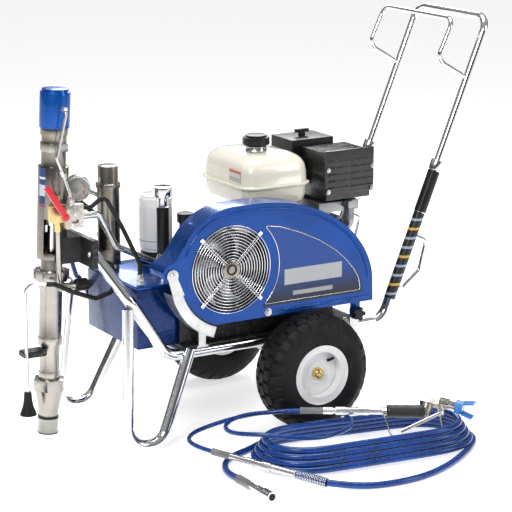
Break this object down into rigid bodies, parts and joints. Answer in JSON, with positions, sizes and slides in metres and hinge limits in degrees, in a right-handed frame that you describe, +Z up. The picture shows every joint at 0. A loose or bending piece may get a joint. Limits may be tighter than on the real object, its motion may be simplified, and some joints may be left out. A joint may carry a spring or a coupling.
{
  "type": "airless paint sprayer",
  "caption": "Petrol-driven hydraulic airless paint sprayer on a two-wheel cart, with belt guard, front pump, coiled hose and gun.",
  "frame": {"origin": "on the floor, under the middle of the cart without its hose and gun", "axes": "+X towards the push handle, +Y to the side away from the belt guard, +Z up"},
  "size_m": [1.4443, 1.1285, 1.105],
  "materials": {
    "chrome_tube": "polished chrome plate",
    "deck_paint": "black powder coat",
    "tyre_rubber": "turf tread rubber",
    "rim_white": "white enamel",
    "cap_brass": "plated cap",
    "zinc_plate": "zinc plated steel",
    "tank_blue": "dark blue enamel",
    "guard_blue": "metallic blue enamel",
    "decal_film": "printed film",
    "filter_white": "white enamel",
    "black_plastic": "moulded plastic",
    "pump_black": "painted casting",
    "alu_cast": "die-cast aluminium",
    "belt_rubber": "belt rubber",
    "pulley_iron": "machined iron",
    "engine_alu": "cast aluminium",
    "tank_ivory": "ivory enamel",
    "muffler_black": "heat-proof black",
    "steel_bright": "bright steel",
    "nickel_dark": "dark nickel plate",
    "nickel": "satin nickel plate",
    "cap_blue": "blue anodised",
    "rod_chrome": "hard chrome",
    "brass": "machined brass",
    "lever_red": "red vinyl",
    "hose_blue": "nylon hose jacket",
    "black_hose": "rubber hose",
    "grip_black": "moulded grip",
    "tip_blue": "blue nylon"
  },
  "bodies": {
    "root": {"side_rail_near": "chrome_tube", "side_rail_far": "chrome_tube", "front_leg_near": "chrome_tube", "front_leg_far": "chrome_tube", "cross_bars": "chrome_tube", "deck_plate": "deck_paint", "lift_loops": "chrome_tube", "handle_collars": "chrome_tube", "axle": "steel_bright", "axle_caps": "cap_brass", "reservoir": "tank_blue", "reservoir_lid": "tank_blue", "oil_filter": "filter_white", "hydraulic_pump": "pump_black", "guard_bracket": "zinc_plate", "guard_back_plate": "deck_paint", "drive_belt": "belt_rubber", "engine_block": "engine_alu", "recoil_housing": "black_plastic", "fuel_tank": "tank_ivory", "muffler": "muffler_black", "air_cleaner": "black_plastic", "exhaust_pipe": "steel_bright", "pump_mount": "pump_black", "motor_cylinder": "nickel_dark", "motor_cap": "cap_blue", "pump_cylinder": "nickel", "intake_valve": "nickel", "drain_tube": "steel_bright", "return_tube": "steel_bright", "valve_body": "brass", "filter_housing": "nickel_dark", "pressure_gauge": "zinc_plate", "hydraulic_hoses": "black_hose", "hose_fittings": "steel_bright", "hose_coil": "hose_blue", "hose_tails": "hose_blue", "whip_hose": "hose_blue", "gun_body": "nickel"},
    "wheel_near": {"tyre_near": "tyre_rubber", "rim_near": "rim_white"},
    "wheel_far": {"tyre_far": "tyre_rubber", "rim_far": "rim_white"},
    "handle_unit": {"handle": "chrome_tube", "grip_loop": "chrome_tube"},
    "guard": {"belt_guard": "guard_blue", "guard_decal": "decal_film", "fan_grille": "chrome_tube"},
    "guard_knob": {"guard_knob": "black_plastic"},
    "fan": {"fan_pulley": "alu_cast"},
    "crank": {"engine_pulley": "pulley_iron"},
    "rod": {"pump_rod": "rod_chrome"},
    "valve_lever": {"valve_lever": "lever_red"},
    "prime_knob": {"prime_knob": "black_plastic"},
    "pressure_knob": {"pressure_knob": "steel_bright"},
    "fuel_cap": {"fuel_cap": "black_plastic"},
    "breather_cap": {"breather_cap": "black_plastic"},
    "recoil": {"recoil_handle": "grip_black"},
    "trigger": {"gun_trigger": "steel_bright"},
    "tip": {"tip_guard": "tip_blue"}
  },
  "joints": [
    {"name": "wheel_near_spin", "type": "hinge", "parent": "root", "child": "wheel_near", "pos_m": [0.06, -0.269, 0.165], "axis": [0, 1, 0], "continuous": true},
    {"name": "wheel_far_spin", "type": "hinge", "parent": "root", "child": "wheel_far", "pos_m": [0.06, 0.269, 0.165], "axis": [0, 1, 0], "continuous": true},
    {"name": "handle_slide", "type": "slide", "parent": "root", "child": "handle_unit", "axis": [0.3834, 0, 0.9236], "range_m": [-0.24, 0]},
    {"name": "guard_swing", "type": "hinge", "parent": "root", "child": "guard", "pos_m": [-0.365, -0.245, 0.486], "axis": [0, 1, 0], "range_deg": [-60, 0]},
    {"name": "guard_knob_turn", "type": "hinge", "parent": "guard", "child": "guard_knob", "pos_m": [0.219, -0.245, 0.304], "axis": [0, 1, 0], "continuous": true},
    {"name": "fan_spin", "type": "hinge", "parent": "root", "child": "fan", "pos_m": [-0.183, -0.206, 0.48], "axis": [0, 1, 0], "continuous": true},
    {"name": "crank_spin", "type": "hinge", "parent": "root", "child": "crank", "pos_m": [0.1, -0.206, 0.385], "axis": [0, 1, 0], "continuous": true},
    {"name": "pump_stroke", "type": "slide", "parent": "root", "child": "rod", "axis": [0.0489, 0, 0.9988], "range_m": [-0.085, 0]},
    {"name": "valve_lever_turn", "type": "hinge", "parent": "root", "child": "valve_lever", "pos_m": [-0.608, -0.1, 0.648], "axis": [0, 1, 0], "range_deg": [-90, 0]},
    {"name": "prime_knob_turn", "type": "hinge", "parent": "root", "child": "prime_knob", "pos_m": [-0.56, -0.06, 0.445], "axis": [1, 0, 0], "range_deg": [0, 90]},
    {"name": "pressure_knob_turn", "type": "hinge", "parent": "root", "child": "pressure_knob", "pos_m": [-0.292, -0.06, 0.6], "axis": [0, 0, 1], "range_deg": [0, 300]},
    {"name": "fuel_cap_turn", "type": "hinge", "parent": "root", "child": "fuel_cap", "pos_m": [0.04, 0, 0.77], "axis": [0, 0, 1], "range_deg": [0, 90]},
    {"name": "breather_cap_turn", "type": "hinge", "parent": "root", "child": "breather_cap", "pos_m": [-0.222, -0.06, 0.59], "axis": [0, 0, 1], "range_deg": [0, 180]},
    {"name": "starter_pull", "type": "slide", "parent": "root", "child": "recoil", "axis": [1, 0, 0], "range_m": [0, 0.18], "stiffness_N_per_m": 30, "springref_m": -0.1},
    {"name": "trigger_pull", "type": "hinge", "parent": "root", "child": "trigger", "pos_m": [0.268, -0.6, 0.1], "axis": [0, 0, 1], "range_deg": [-10, 0], "stiffness_Nm_per_rad": 1.5, "springref_deg": 8.59},
    {"name": "tip_turn", "type": "hinge", "parent": "root", "child": "tip", "pos_m": [0.30059, -0.61867, 0.1175], "axis": [0.6298, -0.7658, -0.13], "range_deg": [0, 180]}
  ],
  "couplings": [
    {"joint": "crank_spin", "follows": "fan_spin", "ratio": 2.5978}
  ]
}
